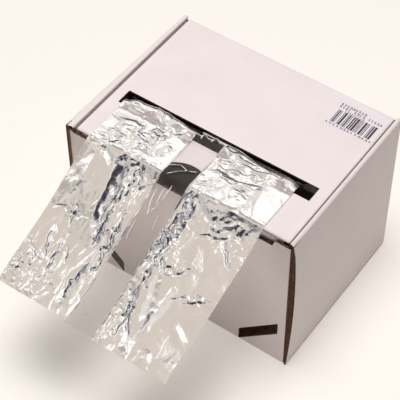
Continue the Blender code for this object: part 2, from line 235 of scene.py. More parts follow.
def pick(*objects):
    """Selects only these, the first one active."""
    bpy.ops.object.select_all(action="DESELECT")
    for obj in objects:
        obj.select_set(True)
    bpy.context.view_layer.objects.active = objects[0]


def finish_mesh(obj):
    """Applies what the object carries, so that its place is in its mesh."""
    pick(obj)
    for modifier in list(obj.modifiers):
        bpy.ops.object.modifier_apply(modifier=modifier.name)
    bpy.ops.object.transform_apply(location=True, rotation=True, scale=True)
    obj.select_set(False)


def join_as(name, parts):
    pick(*parts)
    if len(parts) > 1:
        bpy.ops.object.join()
    joined = bpy.context.view_layer.objects.active
    joined.name = name
    joined.data.name = name
    joined.select_set(False)
    return joined


def sorted_corners(one, other):
    return Vector([*map(min, one, other)]), Vector([*map(max, one, other)])


def add_block(name, one, other):
    """A cube primitive between two opposite corners."""
    low, high = sorted_corners(one, other)
    bpy.ops.mesh.primitive_cube_add(size=1, location=(low + high) / 2, scale=high - low)
    block = bpy.context.object
    block.name = name
    bpy.ops.object.transform_apply(location=True, rotation=True, scale=True)
    block.select_set(False)
    return block


def solidify(obj, thickness, offset, rim_slot=0, back_slot=0):
    shell = obj.modifiers.new("paper", "SOLIDIFY")
    shell.thickness = thickness
    shell.offset = offset
    shell.material_offset = back_slot
    shell.material_offset_rim = rim_slot


def outer_liner(low, high, thin, outside, folds, cuts):
    """The coated liner: flat on the board's outer face and rounded down at each folded edge."""
    liner = add_block("liner", low, high)
    centre = (Vector(low) + Vector(high)) / 2
    give_board_finishes(liner)

    def is_open(face):
        axis = max(range(3), key=lambda k: abs(face.normal[k]))
        way = 1 if face.calc_center_median()[axis] > centre[axis] else -1
        if axis == thin:
            return way != outside
        return (axis, way) not in folds

    select_faces(liner, is_open)
    bpy.ops.mesh.delete(type="FACE")
    bpy.ops.mesh.select_all(action="SELECT")
    if cuts:
        bpy.ops.mesh.subdivide(number_cuts=cuts)
    if folds:
        select_edges(liner, lambda edge: len(edge.link_faces) == 2 and edge.calc_face_angle() > 0.5)
        bpy.ops.mesh.bevel(offset=FOLD_ROUND, segments=FOLD_STEPS, profile=0.5)
    bpy.ops.object.mode_set(mode="OBJECT")
    solidify(liner, LINER, -1, rim_slot=CUT, back_slot=BROWN)
    finish_mesh(liner)
    return liner


def paper_sheet(low, high, thin, level, across, steps, wave):
    """A flat or fluted sheet inside the board, with waves across one axis."""
    along = 3 - thin - across
    centre = (Vector(low) + Vector(high)) / 2
    centre[thin] = level
    size = Vector(high) - Vector(low)
    bpy.ops.mesh.primitive_grid_add(x_subdivisions=steps[0], y_subdivisions=steps[1], size=1)
    sheet = bpy.context.object
    flat = mesh_points(sheet)
    placed = np.empty_like(flat)
    placed[:, across] = centre[across] + flat[:, 0] * size[across]
    placed[:, along] = centre[along] + flat[:, 1] * size[along]
    placed[:, thin] = level + wave * np.cos(2 * np.pi * placed[:, across] / FLUTE_PITCH)
    set_points(sheet, placed)
    give_board_finishes(sheet)
    for face in sheet.data.polygons:
        face.material_index = FLUTED if wave else BROWN
    # A rim's slot counts on from the face's own.
    solidify(sheet, FLUTE_PAPER if wave else LINER, 0, rim_slot=0 if wave else CUT - BROWN)
    finish_mesh(sheet)
    return sheet


def drawn_in(low, high, folds, by):
    """A box pulled in by this much at each folded edge."""
    low, high = low.copy(), high.copy()
    for axis, way in folds:
        (high if way > 0 else low)[axis] -= way * by
    return low, high


def corrugated_panel(name, one, other, across, outside, folds=(), cuts=0):
    """One board panel: coated liner, flutes that repeat across one axis, and kraft liner.

    folds are the edges, as (axis, way), that are creases and not cut edges.
    """
    low, high = sorted_corners(one, other)
    thin = min(range(3), key=lambda k: high[k] - low[k])
    inner_face = low[thin] if outside > 0 else high[thin]
    outer_face = high[thin] if outside > 0 else low[thin]
    kraft_level = inner_face + outside * LINER / 2
    flute_level = (inner_face + outer_face) / 2
    wave = (BOARD - 2 * LINER - FLUTE_PAPER) / 2 - GLUE_LINE
    inset = drawn_in(low, high, folds, INNER_INSET)
    flutes = round((high[across] - low[across]) / FLUTE_PITCH)
    shell = outer_liner(low, high, thin, outside, folds, cuts)
    medium = paper_sheet(
        *drawn_in(*inset, folds, FOLD_ROUND), thin, flute_level, across,
        (flutes * FLUTE_STEPS, cuts + 1), wave,
    )
    inner = paper_sheet(*inset, thin, kraft_level, across, (cuts + 1, cuts + 1), 0)
    return join_as(name, [shell, medium, inner])


def cut_away(obj, cutters):
    """Takes the cutters out of a piece; the cut gets the dark raw-edge brown, paper brown darkened with
    painted shade.
    """
    cutter = join_as("die", cutters)
    cutter.data.materials.clear()
    cutter.data.materials.append(RAW_EDGE_AND_SHADE)
    cut = obj.modifiers.new("die", "BOOLEAN")
    cut.operation = "DIFFERENCE"
    cut.solver = "EXACT"
    cut.material_mode = "TRANSFER"
    cut.object = cutter
    finish_mesh(obj)
    bpy.data.objects.remove(cutter)


def smooth_rounds(obj, degrees=40):
    pick(obj)
    bpy.ops.object.shade_smooth_by_angle(angle=math.radians(degrees))
    obj.select_set(False)


def stand_in_for(obj, body, slot, *nodes):
    """Smooths a finished piece and hands it to the frame."""
    smooth_rounds(obj)
    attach(obj, body)
    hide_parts(*nodes)


X, Y, Z = 0, 1, 2
LID_LOW, LID_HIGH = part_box("lid_panel")
LID_TOP = LID_HIGH[2]

WALL_LOW, WALL_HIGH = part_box("front_wall")
RECESS_DEPTH = 0.0090
RECESS_TOP = LID_TOP - RECESS_DEPTH
RECESS_HALF = 0.0690
LUG_SLOPE = 0.0020
SLIT_INNER, SLIT_OUTER = 0.0470, 0.0763
SLIT_LOW, SLIT_OPENING, SLIT_RISE = 0.0007, 0.0110, 0.0283
CUT_OVER = 0.004
RECESS_OVER = 0.001

front_wall = corrugated_panel(
    "front_wall_board", WALL_LOW, WALL_HIGH, X, -1, folds=((X, -1), (X, 1), (Z, -1))
)
recess_die = add_block(
    "recess_die",
    (-RECESS_HALF, WALL_LOW[1] - CUT_OVER, RECESS_TOP),
    (RECESS_HALF, WALL_HIGH[1] + CUT_OVER, WALL_HIGH[2] + RECESS_OVER),
)
select_faces(recess_die, lambda face: face.normal.z > 0.9)
bpy.ops.transform.resize(value=((RECESS_HALF + LUG_SLOPE) / RECESS_HALF, 1, 1))
bpy.ops.object.mode_set(mode="OBJECT")
slit_dies = []
for side in (-1, 1):
    die = add_block(
        "slit_die",
        (side * SLIT_INNER, WALL_LOW[1] - CUT_OVER, SLIT_LOW),
        (side * SLIT_OUTER, WALL_HIGH[1] + CUT_OVER, SLIT_LOW + SLIT_OPENING),
    )
    select_faces(die, lambda face, way=side: face.normal.x * way > 0.9)
    bpy.ops.transform.translate(value=(0, 0, SLIT_RISE))
    bpy.ops.object.mode_set(mode="OBJECT")
    slit_dies.append(die)
cut_away(front_wall, [recess_die, *slit_dies])
stand_in_for(front_wall, "carton", "coated_board", "front_wall")


# ---------------------------------------------------------------------------------------
# Back wall
# The same board. The lid hangs from its top edge by a crease in the coated liner.
# ---------------------------------------------------------------------------------------

back_low, back_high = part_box("back_wall")
back_wall = corrugated_panel(
    "back_wall_board", back_low, back_high, X, 1, folds=((X, -1), (X, 1), (Z, -1))
)
stand_in_for(back_wall, "carton", "coated_board", "back_wall")


# ---------------------------------------------------------------------------------------
# Side walls
# The outer layer folds up from the floor, rolls over a cap at the top and goes down inside
# as the inner layer, whose tabs lock in the floor. Its raw front edge stands off and bows.
# ---------------------------------------------------------------------------------------

WALL_BOW = 0.0030
BOW_CENTRE = 0.070
CAP_BOX = {side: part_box(side + "_wall_cap") for side in ("left", "right")}
OUTER_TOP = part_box("right_outer_wall")[1][2]
HALF_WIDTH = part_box("right_wall_cap")[1][0]
HALF_DEPTH = back_high[1]


def stand_off(side, points):
    """How far the outer layer stands off: most at the front, and on the left up to the top."""
    front = (HALF_DEPTH - points[:, 1]) / (2 * HALF_DEPTH)
    rise = points[:, 2]
    below = np.sin(np.pi / 2 * np.clip(rise / BOW_CENTRE, 0, 1))
    above = np.cos(np.pi / 2 * np.clip((rise - BOW_CENTRE) / (OUTER_TOP - BOW_CENTRE), 0, 1)) ** 0.5
    if side < 0:
        above = np.ones_like(above)
    return side * WALL_BOW * front * np.where(rise < BOW_CENTRE, below, above)


# The raw front edge is open by this much more than the board's gauge where it stands off.
EDGE_OPENING = {"left": 0.0, "right": 0.0015}
OPEN_FROM, OPEN_RUN = -0.030, 0.030
WALL_CUTS = 14
for word, side in (("left", -1), ("right", 1)):
    x_inside, x_outside = side * (HALF_WIDTH - BOARD), side * HALF_WIDTH
    outer_wall = corrugated_panel(
        word + "_outer_board", (x_inside, -HALF_DEPTH, 0), (x_outside, HALF_DEPTH, OUTER_TOP),
        Z, side, folds=((Z, -1),), cuts=WALL_CUTS,
    )
    points = mesh_points(outer_wall)
    inward = (x_outside - points[:, 0]) / (x_outside - x_inside)
    off = stand_off(side, points)
    opened = np.clip((OPEN_FROM - points[:, 1]) / OPEN_RUN, 0, 1) * EDGE_OPENING[word] / WALL_BOW
    points[:, 0] += off - inward * opened * off
    set_points(outer_wall, points)
    stand_in_for(outer_wall, "carton", "coated_board", word + "_outer_wall")

# The front corners, where the front wall turns back into its dust flaps: a rounded fold that
# bulges out as far as the wall beside it. The left one shows its coating; the right one gets the
# dark raw-edge brown, its kraft darkened to paint the shade in the gap beside it.
FOLD_FOOT, FOLD_TOP = 0.0012, 0.1195
FOLD_FRONT, FOLD_BACK = -HALF_DEPTH + 0.0003, -HALF_DEPTH + 0.0020
FOLD_LAP = 0.0006
FOLD_BEVEL = 0.0012
FOLD_CUTS = np.linspace(0.008, FOLD_TOP - 0.006, 14)
HAIR = 0.0001
LONG = 0.05


def is_long(edge, axis):
    return abs(edge.verts[0].co[axis] - edge.verts[1].co[axis]) > LONG


for word, side, finish, share in (("left", -1, COATED, 0.95), ("right", 1, RAW_EDGE_AND_SHADE, 0.48)):
    near, far = side * (WALL_HIGH[0] - FOLD_LAP), side * (HALF_WIDTH - BOARD - HAIR)
    corner = add_block(
        word + "_corner_fold", (near, FOLD_FRONT, FOLD_FOOT), (far, FOLD_BACK, FOLD_TOP)
    )

    def is_outer_front(edge, outer=far):
        place = edge.verts[0].co
        at_front = abs(place.y - FOLD_FRONT) < HAIR
        return is_long(edge, Z) and abs(place.x - outer) < HAIR and at_front

    select_faces(corner, lambda face: True)
    select_edges(corner, is_outer_front)
    bpy.ops.mesh.bevel(offset=FOLD_BEVEL, segments=FOLD_STEPS, profile=0.5)
    bpy.ops.mesh.select_all(action="SELECT")
    for level in FOLD_CUTS:
        bpy.ops.mesh.bisect(plane_co=(0, 0, level), plane_no=(0, 0, 1))
        bpy.ops.mesh.select_all(action="SELECT")
    bpy.ops.object.mode_set(mode="OBJECT")
    points = mesh_points(corner)
    outward = np.clip((points[:, 0] - near) / (far - near), 0, 1)
    points[:, 0] += stand_off(side, points) * outward * share
    set_points(corner, points)
    corner.data.materials.append(finish)
    smooth_rounds(corner)
    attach(corner, "carton")

INNER_KINK = 0.108
INNER_LEAN_END = LID_TOP - BOARD
INNER_SHIFT = 0.0018
TAB_WIDTH = 0.018
TAB_SPACING = 0.062
TAB_PLAY = 0.0003
FLOOR_UNDER = -0.001

for word, side in (("left", -1), ("right", 1)):
    node_low, node_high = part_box(word + "_inner_wall")
    inside = node_high[0] if side < 0 else node_low[0]
    outside = inside + side * BOARD
    inner_wall = corrugated_panel(
        word + "_inner_board", (inside, *node_low[1:]), (outside, *node_high[1:]),
        Z, -side, cuts=WALL_CUTS,
    )
    floor_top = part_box("floor_panel")[1][2] + TAB_PLAY
    edges = [node_low[1] - CUT_OVER, -TAB_SPACING / 2, TAB_SPACING / 2, node_high[1] + CUT_OVER]
    dies = []
    for index in range(3):
        start = edges[index] + (TAB_WIDTH / 2 if index else 0)
        stop = edges[index + 1] - (TAB_WIDTH / 2 if index < 2 else 0)
        dies.append(add_block(
            "tab_die", (inside - side * CUT_OVER, start, FLOOR_UNDER),
            (outside + side * CUT_OVER, stop, floor_top),
        ))
    cut_away(inner_wall, dies)
    points = mesh_points(inner_wall)
    lean = np.clip((points[:, 2] - INNER_KINK) / (INNER_LEAN_END - INNER_KINK), 0, 1)
    points[:, 0] += side * INNER_SHIFT * lean
    set_points(inner_wall, points)
    stand_in_for(inner_wall, "carton", "coated_board", word + "_inner_wall")

# The cap: the rolled-over stretch, round along both edges and hollow at its open ends.
CAP_ROUND = 0.0019
CREASE_ROUND = 0.0012
CAP_STEPS = 6
CAP_SEAT = 0.00002
CAP_RIM, CAP_LIP, CAP_HOLLOW = 0.00035, 0.00005, 0.004
# The front corner is worn round by handling, the left one more: how far in, and how far along.
CRUSH = {"left": 0.0012, "right": 0.0004}
CRUSH_LENGTH = 0.009
CRUSH_DROP = 0.6


def paint_faces(obj, slot, wanted):
    """In edit mode, gives a finish to the faces for which wanted(face) is true."""
    bm = bmesh.from_edit_mesh(obj.data)
    for face in bm.faces:
        if wanted(face):
            face.material_index = slot
    bmesh.update_edit_mesh(obj.data)


def is_in_cap_end(face):
    return abs(face.normal.y) > 0.5 or LONG < abs(face.calc_center_median().y) < HALF_DEPTH


for word, side in (("left", -1), ("right", 1)):
    low, high = CAP_BOX[word]
    inner_x = side * (HALF_WIDTH - 2 * BOARD - HAIR)
    outer_x = side * HALF_WIDTH
    cap = add_block(
        word + "_cap", (inner_x, low[1], OUTER_TOP + CAP_SEAT), (outer_x, high[1], high[2])
    )
    give_board_finishes(cap)
    select_faces(cap, lambda face: face.normal.z > 0.9)
    for edge_x, rounding in ((outer_x, CAP_ROUND), (inner_x, CREASE_ROUND)):

        def is_top_edge(edge, across=edge_x, level=high[2]):
            place = edge.verts[0].co
            return is_long(edge, Y) and abs(place.x - across) < HAIR and place.z > level - HAIR

        select_edges(cap, is_top_edge)
        bpy.ops.mesh.bevel(offset=rounding, segments=CAP_STEPS, profile=0.5)
    select_faces(cap, lambda face: abs(face.normal.y) > 0.9)
    bpy.ops.mesh.inset(thickness=CAP_RIM, depth=0)
    # The rims and hollow of the open ends get the dark raw-edge brown: painted shade for the open flutes
    # inside.
    paint_faces(cap, CUT, lambda face: face.select)
    bpy.ops.mesh.inset(thickness=CAP_LIP, depth=-CAP_HOLLOW)
    paint_faces(cap, CUT, is_in_cap_end)
    for y in (0, CRUSH_LENGTH - HALF_DEPTH):
        bpy.ops.mesh.select_all(action="SELECT")
        bpy.ops.mesh.bisect(plane_co=(0, y, 0), plane_no=(0, 1, 0))
    bpy.ops.object.mode_set(mode="OBJECT")
    points = mesh_points(cap)
    outer_half = np.abs(points[:, 0]) > (abs(inner_x) + abs(outer_x)) / 2
    top_level = points.copy()
    top_level[:, 2] = OUTER_TOP
    points[:, 0] += np.where(outer_half, stand_off(side, top_level), 0)
    worn = CRUSH[word] * np.clip((CRUSH_LENGTH - HALF_DEPTH - points[:, 1]) / CRUSH_LENGTH, 0, 1) ** 2
    rise = (points[:, 2] - OUTER_TOP) / (high[2] - OUTER_TOP)
    points[:, 0] -= np.where(outer_half, side * worn, 0)
    points[:, 2] -= np.where(outer_half, CRUSH_DROP * worn * rise, 0)
    set_points(cap, points)
    stand_in_for(cap, "carton", "coated_board", word + "_wall_cap")


# ---------------------------------------------------------------------------------------
# Floor and dust flaps
# Flat panels of the same blank: the floor is white below and kraft above, and the dust
# flaps are held between the two layers of the side walls. They keep the frame's own shape.
# ---------------------------------------------------------------------------------------


def board_seen_from_both_sides(name, white_axis, white_way):
    """Kraft board whose face towards one way carries the white coating."""
    material, nodes, links, shader = new_finish(name, 0.7, specular=0.25)
    fibres = noise_field(nodes, links, 700, 6, (1, 0.2, 1))
    kraft = color_ramp(nodes, links, fibres, [(0.32, KRAFT_DARK), (0.68, KRAFT_LIGHT)])
    geometry = nodes.new("ShaderNodeNewGeometry")
    split = nodes.new("ShaderNodeSeparateXYZ")
    links.new(geometry.outputs["Normal"], split.inputs["Vector"])
    facing = nodes.new("ShaderNodeMath")
    facing.operation = "MULTIPLY"
    facing.inputs[1].default_value = white_way
    links.new(split.outputs[white_axis], facing.inputs[0])
    is_white = nodes.new("ShaderNodeMath")
    is_white.operation = "GREATER_THAN"
    is_white.inputs[1].default_value = 0.7
    links.new(facing.outputs["Value"], is_white.inputs[0])
    mix = nodes.new("ShaderNodeMix")
    mix.data_type = "RGBA"
    links.new(is_white.outputs["Value"], mix.inputs["Factor"])
    links.new(kraft, mix.inputs["A"])
    mix.inputs["B"].default_value = (0.82, 0.75, 0.73, 1)
    links.new(mix.outputs["Result"], shader.inputs["Base Color"])
    add_bump(nodes, links, shader, fibres, 0.35, 0.0002)
    return material


def refinish(node, material):
    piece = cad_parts[node]
    piece.data.materials.clear()
    piece.data.materials.append(material)


refinish("floor_panel", board_seen_from_both_sides("floor_board", "Z", -1))
# The dust flaps are kraft on both faces, though their outer face is coated white: the brown paints the
# shade in the gap where they show at the corners.
for word in ("left", "right"):
    for end in ("front", "back"):
        refinish(f"{end}_{word}_dust_flap", KRAFT)


# ---------------------------------------------------------------------------------------
# Lid
# The same board, creased on all four sides: to the back wall, the two ears and the tuck
# flap. A slot lets the web out, and a thumb notch is cut across the front crease.
# ---------------------------------------------------------------------------------------

SLOT_HALF = 0.072
SLOT_FROM_FRONT = 0.035
SLOT_DEPTH = 0.012
SLOT_FRONT = SLOT_FROM_FRONT - HALF_DEPTH
SLOT_BACK = SLOT_FRONT + SLOT_DEPTH
NOTCH_RADIUS = 0.0215
NOTCH_DEPTH = 0.0160
ROUND_STEPS = 96
DIE_LENGTH = 0.010

LID_PLAY = Vector((0.0005, 0, 0))
lid = corrugated_panel(
    "lid_board", Vector(LID_LOW) + LID_PLAY, Vector(LID_HIGH) - LID_PLAY, X, 1,
    folds=((X, -1), (X, 1), (Y, -1), (Y, 1)),
)
slot_die = add_block(
    "slot_die",
    (-SLOT_HALF, SLOT_FRONT, LID_LOW[2] - CUT_OVER),
    (SLOT_HALF, SLOT_BACK, LID_TOP + CUT_OVER),
)
bpy.ops.mesh.primitive_cylinder_add(
    vertices=ROUND_STEPS, radius=NOTCH_RADIUS, depth=DIE_LENGTH,
    location=(0, LID_LOW[1] - NOTCH_RADIUS + NOTCH_DEPTH, LID_TOP),
)
notch_die = bpy.context.object
finish_mesh(notch_die)
cut_away(lid, [slot_die, notch_die])
stand_in_for(lid, "lid", "coated_board", "lid_panel")

CREASE_LEAN = math.radians(9)


def lean_in(obj, crease, axis, angle):
    """Turns a flap about its crease."""
    crease = Vector(crease)
    obj.data.transform(
        Matrix.Translation(crease) @ Matrix.Rotation(angle, 4, axis) @ Matrix.Translation(-crease)
    )


FLAP_LENGTH = 0.028
FLAP_CORNER = 0.006
FLAP_GAP = 0.0004
crease_z = LID_LOW[2]
flap_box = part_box("lid_tuck_flap")
flap_low = (flap_box[0][0], LID_LOW[1], crease_z - FLAP_LENGTH)
flap_high = (flap_box[1][0], LID_LOW[1] + BOARD, crease_z - FLAP_GAP)
tuck_flap = corrugated_panel("tuck_flap_board", flap_low, flap_high, X, -1)
bpy.ops.mesh.primitive_cylinder_add(
    vertices=ROUND_STEPS, radius=NOTCH_RADIUS, depth=DIE_LENGTH, rotation=(math.pi / 2, 0, 0),
    location=(0, LID_LOW[1], crease_z - FLAP_GAP + NOTCH_RADIUS - NOTCH_DEPTH),
)
flap_dies = [bpy.context.object]
finish_mesh(flap_dies[0])
for side in (-1, 1):
    bpy.ops.mesh.primitive_cube_add(
        size=FLAP_CORNER * math.sqrt(2), rotation=(0, math.pi / 4, 0),
        location=(side * flap_high[0], LID_LOW[1], crease_z - FLAP_LENGTH),
    )
    flap_dies.append(bpy.context.object)
    finish_mesh(bpy.context.object)
cut_away(tuck_flap, flap_dies)
lean_in(tuck_flap, (0, LID_LOW[1] + BOARD, crease_z), "X", CREASE_LEAN)
stand_in_for(tuck_flap, "tuck_flap", "coated_board", "lid_tuck_flap")

EAR_LENGTH = 0.016
EAR_FROM_FRONT, EAR_FROM_BACK = 0.024, 0.014
EAR_FRONT = LID_LOW[1] + EAR_FROM_FRONT
EAR_BACK = HALF_DEPTH - EAR_FROM_BACK
EAR_CORNER = 0.008
for word, side in (("left", -1), ("right", 1)):
    outside = side * LID_HIGH[0]
    inside = outside - side * BOARD
    ear = corrugated_panel(
        f"{word}_ear_board", (outside, EAR_FRONT, crease_z - EAR_LENGTH),
        (inside, EAR_BACK, crease_z - FLAP_GAP), Z, side,
    )
    bpy.ops.mesh.primitive_cube_add(
        size=EAR_CORNER * math.sqrt(2), rotation=(math.pi / 4, 0, 0),
        location=(outside, EAR_FRONT, crease_z - EAR_LENGTH),
    )
    ear_die = bpy.context.object
    finish_mesh(ear_die)
    cut_away(ear, [ear_die])
    lean_in(ear, (inside, 0, crease_z), "Y", side * CREASE_LEAN)
    stand_in_for(ear, f"{word}_ear", "coated_board", f"lid_{word}_ear")

# The lid's back crease: a strip of coated liner lying on the lid and turned a quarter round over the back
# edge.
HINGE_REACH = 0.0034
HINGE_INSET = 0.0020
HINGE_STEPS = 16
HINGE_PAPER = 0.0001
# It lies in the liners of both panels, this deep.
HINGE_DEPTH = 0.00012
bpy.ops.mesh.primitive_grid_add(x_subdivisions=1, y_subdivisions=HINGE_STEPS, size=1)
hinge = bpy.context.object
hinge.name = "lid_crease"
points = mesh_points(hinge)
points[:, 0] *= 2 * (LID_HIGH[0] - HINGE_INSET)
along = (points[:, 1] + 0.5) * 2 * HINGE_REACH
straight = HINGE_REACH - FOLD_ROUND * 0.9
turned = np.clip((along - straight) / (2 * HINGE_REACH - 2 * straight), 0, 1) * math.pi / 2
corner_y = HALF_DEPTH - HINGE_DEPTH - FOLD_ROUND
corner_z = LID_TOP - HINGE_DEPTH - FOLD_ROUND
points[:, 1] = corner_y + FOLD_ROUND * np.sin(turned) - np.clip(straight - along, 0, None)
points[:, 2] = (
    corner_z + FOLD_ROUND * np.cos(turned) - np.clip(along - (2 * HINGE_REACH - straight), 0, None)
)
set_points(hinge, points)
hinge.data.materials.append(COATED)
hinge.data.materials.append(KRAFT)
solidify(hinge, HINGE_PAPER, -1, rim_slot=1, back_slot=1)
finish_mesh(hinge)
smooth_rounds(hinge)
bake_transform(hinge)


# ---------------------------------------------------------------------------------------
# Price label
# A rectangle of semi-gloss paper stuck flat to the lid, with printed bars and plain marks.
# The print is generic: the bars' widths come from a seeded draw and say nothing.
# ---------------------------------------------------------------------------------------

LABEL_LOW, LABEL_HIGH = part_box("price_label")
LABEL_PAPER = 0.00012
LABEL_SUNK = 0.00002
LABEL_CORNER = 0.0012
LABEL_TOP = LID_TOP + LABEL_PAPER


def mottled_finish(name, roughness, specular, scale, stops, detail=2, stretch=(1, 1, 1)):
    material, *tree = new_finish(name, roughness, specular=specular)
    mottle(*tree, noise_field(*tree[:2], scale, detail, stretch), stops)
    return material


label = add_block(
    "price_label_paper",
    (LABEL_LOW[0], LABEL_LOW[1], LID_TOP - LABEL_SUNK),
    (LABEL_HIGH[0], LABEL_HIGH[1], LABEL_TOP),
)
select_faces(label, lambda face: True)
select_edges(label, lambda edge: abs(edge.verts[0].co.z - edge.verts[1].co.z) > LABEL_PAPER / 2)
bpy.ops.mesh.bevel(offset=LABEL_CORNER, segments=FOLD_STEPS)
bpy.ops.object.mode_set(mode="OBJECT")
label.data.materials.append(mottled_finish(
    "label_paper", 0.34, 0.5, 120, [(0.3, (0.775, 0.70, 0.73)), (0.7, (0.805, 0.73, 0.76))]
))
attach(label, "lid")
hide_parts("price_label")

BARS_WIDTH = 0.0300
BARS_FROM_FRONT, BARS_FROM_RIGHT = 0.0032, 0.0018
BARS_FRONT = LABEL_LOW[1] + BARS_FROM_FRONT
BARS_DEPTH = 0.0118
BARS_MODULES = 62
BARS_LEFT = LABEL_HIGH[0] - BARS_FROM_RIGHT - BARS_WIDTH
INK_LOW = LABEL_TOP - 0.00001
INK_HIGH = LABEL_TOP + 0.00002
# Each row of marks: its place from the bars' front, its height, how many marks, the first
# mark's place and the pitch. One row has spaces in it.
MARK_ROWS = (
    (-0.0021, 0.0013, 13, -0.0020, 0.00262),
    (BARS_DEPTH + 0.0004, 0.0009, 9, 0.0040, 0.0016),
    (BARS_DEPTH + 0.0020, 0.0017, 17, -0.0010, 0.0021),
    (BARS_DEPTH + 0.0044, 0.0017, 9, -0.0010, 0.0021),
)
SPACED_ROW, SPACES = 2, (4, 9)
LABEL_MARGIN = 0.0008
module = BARS_WIDTH / BARS_MODULES
draw = np.random.default_rng(11)
marks = []
at = 0
while at < BARS_MODULES - 2:
    wide = int(draw.choice([1, 1, 2, 3], p=[0.4, 0.2, 0.25, 0.15]))
    marks.append(add_block(
        "bar",
        (BARS_LEFT + at * module, BARS_FRONT, INK_LOW),
        (BARS_LEFT + min(at + wide, BARS_MODULES) * module, BARS_FRONT + BARS_DEPTH, INK_HIGH),
    ))
    at += wide + int(draw.choice([1, 1, 2, 3], p=[0.35, 0.25, 0.25, 0.15]))
for row, (gap, height, count, first, pitch) in enumerate(MARK_ROWS):
    for index in range(count):
        left = BARS_LEFT + first + index * pitch
        wide = pitch * draw.uniform(0.45, 0.85)
        if row == SPACED_ROW and index in SPACES:
            continue
        if left + wide > LABEL_HIGH[0] - LABEL_MARGIN:
            break
        y = BARS_FRONT + gap
        marks.append(add_block("mark", (left, y, INK_LOW), (left + wide, y + height * 0.35, INK_HIGH)))
        marks.append(add_block(
            "mark", (left, y + height * 0.62, INK_LOW), (left + wide * 0.8, y + height, INK_HIGH)
        ))
print_marks = join_as("label_print", marks)
print_marks.data.materials.append(mottled_finish(
    "label_ink", 0.5, 0.4, 2500, [(0.35, (0.012, 0.010, 0.014)), (0.75, (0.10, 0.09, 0.11))]
))
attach(print_marks, "lid")


# ---------------------------------------------------------------------------------------
# The web: foil, clear film, foil
# Two bands of thin aluminium foil are sealed to the edges of a clear film window. The web
# lies over the lid, is creased over its front edge and stands out in the air, crumpled.
# ---------------------------------------------------------------------------------------

WEB_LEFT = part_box("strip_left_foil")[0][0]
WEB_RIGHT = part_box("strip_right_foil")[1][0]
WINDOW_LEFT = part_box("strip_window_film")[0][0]
WINDOW_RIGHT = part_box("strip_window_film")[1][0]
ROLL_LOW, ROLL_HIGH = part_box("wound_window_film")
ROLL_Y = (ROLL_LOW[1] + ROLL_HIGH[1]) / 2
ROLL_Z = (ROLL_LOW[2] + ROLL_HIGH[2]) / 2
ROLL_RADIUS = (ROLL_HIGH[1] - ROLL_LOW[1]) / 2
FOIL_THICKNESS = 0.00005
# The web's middle lies this far above the lid, so that its creases stay clear of the board.
LIE = LID_TOP + 0.00045
# The facets' random table repeats after this many cells.
TABLE = 128


def smooth_path(points, spacing):
    """A Catmull-Rom curve through (y, z) points, resampled evenly along its length."""
    line = [2 * points[0] - points[1], *points, 2 * points[-1] - points[-2]]
    fine = []
    for before, start, end, after in zip(line, line[1:], line[2:], line[3:]):
        for t in np.linspace(0, 1, 40, endpoint=False):
            fine.append(
                0.5 * (2 * start + (end - before) * t
                       + (2 * before - 5 * start + 4 * end - after) * t ** 2
                       + (3 * start - before - 3 * end + after) * t ** 3)
            )
    fine.append(points[-1])
    fine = np.array(fine)
    length = np.concatenate([[0], np.cumsum(np.linalg.norm(np.diff(fine, axis=0), axis=1))])
    even = np.linspace(0, length[-1], max(2, round(length[-1] / spacing)))
    return even, np.stack([np.interp(even, length, fine[:, k]) for k in (0, 1)], axis=1)


strip_points = [np.array(point) for point in (
    (SLOT_BACK - 0.0016, LID_TOP - 0.0022),
    (SLOT_BACK - 0.0023, LID_TOP - 0.0002),
    (SLOT_BACK - 0.0058, LID_TOP + 0.0017),
    (SLOT_FRONT, LID_TOP + 0.0013),
    (SLOT_FRONT - 0.0050, LIE),
    (SLOT_FRONT - 0.0180, LIE),
    (LID_LOW[1] + 0.0050, LIE),
    (LID_LOW[1] + 0.0005, LIE - 0.00015),
    (LID_LOW[1] - 0.0022, LIE - 0.0016),
    (-HALF_DEPTH - 0.0125, LID_TOP - 0.0082),
    (-HALF_DEPTH - 0.0445, LID_TOP - 0.0225),
    (-HALF_DEPTH - 0.0760, LID_TOP - 0.0364),
    (-HALF_DEPTH - 0.0975, LID_TOP - 0.0438),
)]
SPACING = 0.00045
PATH_LENGTH, PATH = smooth_path(strip_points, SPACING)
STRIP_LENGTH = PATH_LENGTH[-1]
path_way = np.gradient(PATH, axis=0)
path_way /= np.linalg.norm(path_way, axis=1)[:, None]
PATH_UP = np.stack([path_way[:, 1], -path_way[:, 0]], axis=1)
BEND = float(PATH_LENGTH[np.argmin(np.abs(PATH[:, 0] - LID_LOW[1]))])


def facets(x, s, cell, slope, seed, stretch=1.0):
    """A surface of flat facets with sharp folds between them, as crumpled foil has.

    It is the difference of two upper envelopes of randomly placed planes. The planes' centres
    are one to a square cell, so only the cells nearby need to be looked at.
    """
    rng = np.random.default_rng(seed)
    s = s / stretch
    curve = slope / cell
    column = np.floor(x / cell).astype(int)
    row = np.floor(s / cell).astype(int)
    total = np.zeros_like(x)
    for sign in (1, -1):
        centres = rng.random((TABLE, TABLE, 2))
        lift = rng.normal(0, 0.10 * slope * cell, (TABLE, TABLE))
        best = np.full(x.shape, -np.inf)
        for over in range(-2, 3):
            for up in range(-2, 3):
                i, j = (column + over) % TABLE, (row + up) % TABLE
                cx = (column + over + centres[i, j, 0]) * cell
                cs = (row + up + centres[i, j, 1]) * cell
                level = curve * (2 * x * cx + 2 * s * cs - cx ** 2 - cs ** 2) + lift[i, j]
                np.maximum(best, level, out=best)
        total += sign * best
    return total


def waves(x, s, cell, seed, terms=7):
    """Smooth random swell of about unit height."""
    rng = np.random.default_rng(seed)
    total = np.zeros_like(x)
    for _ in range(terms):
        angle = rng.uniform(0, 2 * np.pi)
        pitch = cell * rng.uniform(0.7, 1.6)
        phase = rng.uniform(0, 2 * np.pi)
        total += np.sin(2 * np.pi * (x * np.cos(angle) + s * np.sin(angle)) / pitch + phase)
    return total / math.sqrt(terms / 2)


def step_up(value, start, end):
    """0 before start, 1 after end, and smooth between."""
    share = np.clip((value - start) / (end - start), 0, 1)
    return share * share * (3 - 2 * share)


